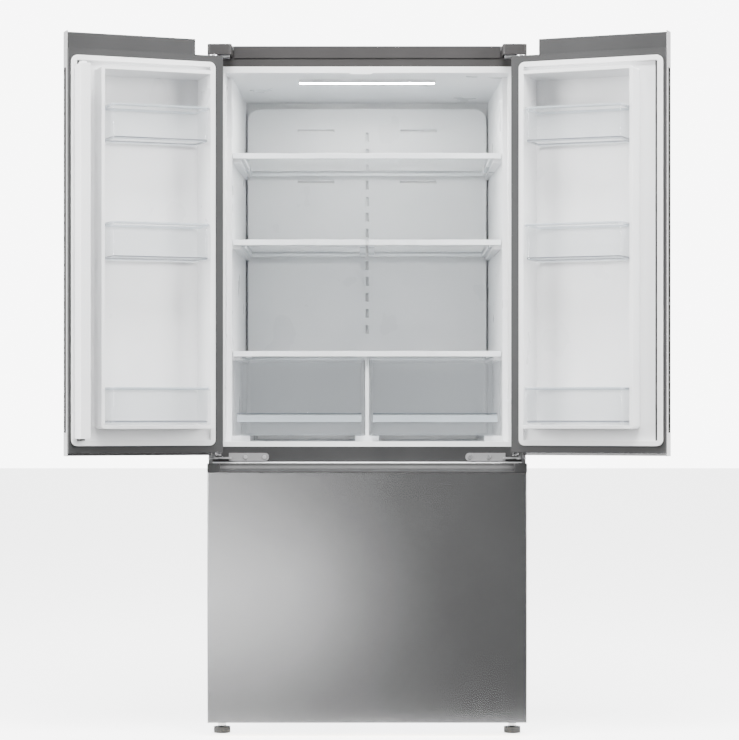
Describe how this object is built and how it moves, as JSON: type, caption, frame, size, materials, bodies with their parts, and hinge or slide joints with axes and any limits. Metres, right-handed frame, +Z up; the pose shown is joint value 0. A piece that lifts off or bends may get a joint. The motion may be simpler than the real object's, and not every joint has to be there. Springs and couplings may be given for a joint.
{
  "type": "french door refrigerator",
  "caption": "French door refrigerator with two open fresh-food doors, glass shelves, crispers, door bins and a pull-out freezer drawer.",
  "frame": {"origin": "on the floor, under the middle of the cabinet and drawer footprint", "axes": "+Z up, the front faces -Y, +X to the right seen from the front"},
  "size_m": [1.4186, 0.9133, 1.661],
  "materials": {
    "stainless_front": "brushed",
    "painted_casing": "satin",
    "dark_trim": "satin",
    "gray_frame": "satin",
    "white_liner": "semi-gloss",
    "white_gasket": "matt",
    "clear_plastic": "clear",
    "shelf_trim": "semi-gloss",
    "shelf_glass": "clear",
    "light_lens": "frosted",
    "zinc_steel": "zinc plated",
    "galvanised_steel": "galvanised",
    "black_enamel": "gloss",
    "aluminium_fins": "mill",
    "black_plastic": "matt",
    "black_rubber": "matt",
    "insulation": "foam"
  },
  "bodies": {
    "cabinet": {"base_pan": "galvanised_steel", "cabinet_foam": "insulation", "cabinet_wrap": "painted_casing", "centre_rail": "gray_frame", "compressor": "black_enamel", "condenser": "black_enamel", "crisper_cover_frame": "shelf_trim", "crisper_divider": "shelf_trim", "duct_cover": "white_liner", "evaporator": "aluminium_fins", "evaporator_cover": "white_liner", "freezer_liner": "white_liner", "fridge_liner": "white_liner", "half_shelf_frames": "shelf_trim", "hinge_covers": "dark_trim", "hinge_screws": "zinc_steel", "light_lens": "light_lens", "machine_cover": "galvanised_steel", "middle_hinges": "zinc_steel", "mullion_guide": "white_liner", "power_inlet": "black_plastic", "rear_panel": "galvanised_steel", "shelf_glass": "shelf_glass", "slide_rails_fixed": "zinc_steel", "top_hinges": "zinc_steel", "top_shelf_frame": "shelf_trim", "top_trim": "dark_trim"},
    "left_door": {"left_door_skin": "stainless_front", "left_door_frame": "gray_frame", "left_door_liner": "white_liner", "left_door_foam": "insulation", "left_door_gasket": "white_gasket"},
    "left_lower_bin": {"left_lower_bin": "clear_plastic"},
    "left_middle_bin": {"left_middle_bin": "clear_plastic"},
    "left_upper_bin": {"left_upper_bin": "clear_plastic"},
    "crisper_left": {"crisper_left": "clear_plastic"},
    "front_foot_left": {"front_foot_left": "black_rubber"},
    "right_door": {"right_door_skin": "stainless_front", "right_door_frame": "gray_frame", "right_door_liner": "white_liner", "right_door_foam": "insulation", "right_door_gasket": "white_gasket"},
    "right_lower_bin": {"right_lower_bin": "clear_plastic"},
    "right_middle_bin": {"right_middle_bin": "clear_plastic"},
    "right_upper_bin": {"right_upper_bin": "clear_plastic"},
    "crisper_right": {"crisper_right": "clear_plastic"},
    "front_foot_right": {"front_foot_right": "black_rubber"},
    "mullion": {"flip_mullion": "white_liner"},
    "drawer": {"drawer_skin": "stainless_front", "drawer_grip_cap": "gray_frame", "drawer_liner": "white_liner", "drawer_foam": "insulation", "drawer_gasket": "white_gasket", "slide_rails_inner": "zinc_steel", "freezer_basket": "shelf_trim"},
    "slide_middles": {"slide_rails_middle": "zinc_steel"},
    "tray": {"freezer_tray": "white_liner"},
    "cold_fan": {"evaporator_fan": "black_plastic"},
    "warm_fan": {"condenser_fan": "black_plastic"},
    "rollers": {"rear_rollers": "black_plastic"}
  },
  "joints": [
    {"name": "left_door_hinge", "type": "hinge", "parent": "cabinet", "child": "left_door", "pos_m": [-0.367, -0.335, 1.15], "axis": [0, 0, -1], "range_deg": [-158, 6]},
    {"name": "left_lower_bin_lift", "type": "slide", "parent": "left_door", "child": "left_lower_bin", "axis": [0, 0, 1], "range_m": [0, 0.04]},
    {"name": "left_middle_bin_lift", "type": "slide", "parent": "left_door", "child": "left_middle_bin", "axis": [0, 0, 1], "range_m": [0, 0.04]},
    {"name": "left_upper_bin_lift", "type": "slide", "parent": "left_door", "child": "left_upper_bin", "axis": [0, 0, 1], "range_m": [0, 0.04]},
    {"name": "crisper_left_slide", "type": "slide", "parent": "cabinet", "child": "crisper_left", "axis": [0, -1, 0], "range_m": [0, 0.28]},
    {"name": "foot_left_screw", "type": "slide", "parent": "cabinet", "child": "front_foot_left", "axis": [0, 0, -1], "range_m": [0, 0.01]},
    {"name": "right_door_hinge", "type": "hinge", "parent": "cabinet", "child": "right_door", "pos_m": [0.367, -0.335, 1.15], "axis": [0, 0, 1], "range_deg": [-158, 6]},
    {"name": "right_lower_bin_lift", "type": "slide", "parent": "right_door", "child": "right_lower_bin", "axis": [0, 0, 1], "range_m": [0, 0.04]},
    {"name": "right_middle_bin_lift", "type": "slide", "parent": "right_door", "child": "right_middle_bin", "axis": [0, 0, 1], "range_m": [0, 0.04]},
    {"name": "right_upper_bin_lift", "type": "slide", "parent": "right_door", "child": "right_upper_bin", "axis": [0, 0, 1], "range_m": [0, 0.04]},
    {"name": "crisper_right_slide", "type": "slide", "parent": "cabinet", "child": "crisper_right", "axis": [0, -1, 0], "range_m": [0, 0.28]},
    {"name": "foot_right_screw", "type": "slide", "parent": "cabinet", "child": "front_foot_right", "axis": [0, 0, -1], "range_m": [0, 0.01]},
    {"name": "mullion_flip", "type": "hinge", "parent": "left_door", "child": "mullion", "pos_m": [-0.66387, -0.51318, 1.145], "axis": [0, 0, 1], "range_deg": [-90, 0]},
    {"name": "freezer_drawer_slide", "type": "slide", "parent": "cabinet", "child": "drawer", "axis": [0, -1, 0], "range_m": [0, 0.38]},
    {"name": "slide_middle_travel", "type": "slide", "parent": "cabinet", "child": "slide_middles", "axis": [0, -1, 0], "range_m": [0, 0.19]},
    {"name": "freezer_tray_slide", "type": "slide", "parent": "cabinet", "child": "tray", "axis": [0, -1, 0], "range_m": [0, 0.304]},
    {"name": "evaporator_fan_spin", "type": "hinge", "parent": "cabinet", "child": "cold_fan", "pos_m": [0, 0.198, 0.568], "axis": [0, 1, 0], "continuous": true},
    {"name": "condenser_fan_spin", "type": "hinge", "parent": "cabinet", "child": "warm_fan", "pos_m": [0.01, 0.223, 0.119], "axis": [1, 0, 0], "continuous": true},
    {"name": "rear_roller_spin", "type": "hinge", "parent": "cabinet", "child": "rollers", "pos_m": [0, 0.293, 0.02], "axis": [1, 0, 0], "continuous": true}
  ],
  "couplings": [
    {"joint": "slide_middle_travel", "follows": "freezer_drawer_slide", "ratio": 0.5},
    {"joint": "freezer_tray_slide", "follows": "freezer_drawer_slide", "ratio": 0.8}
  ]
}
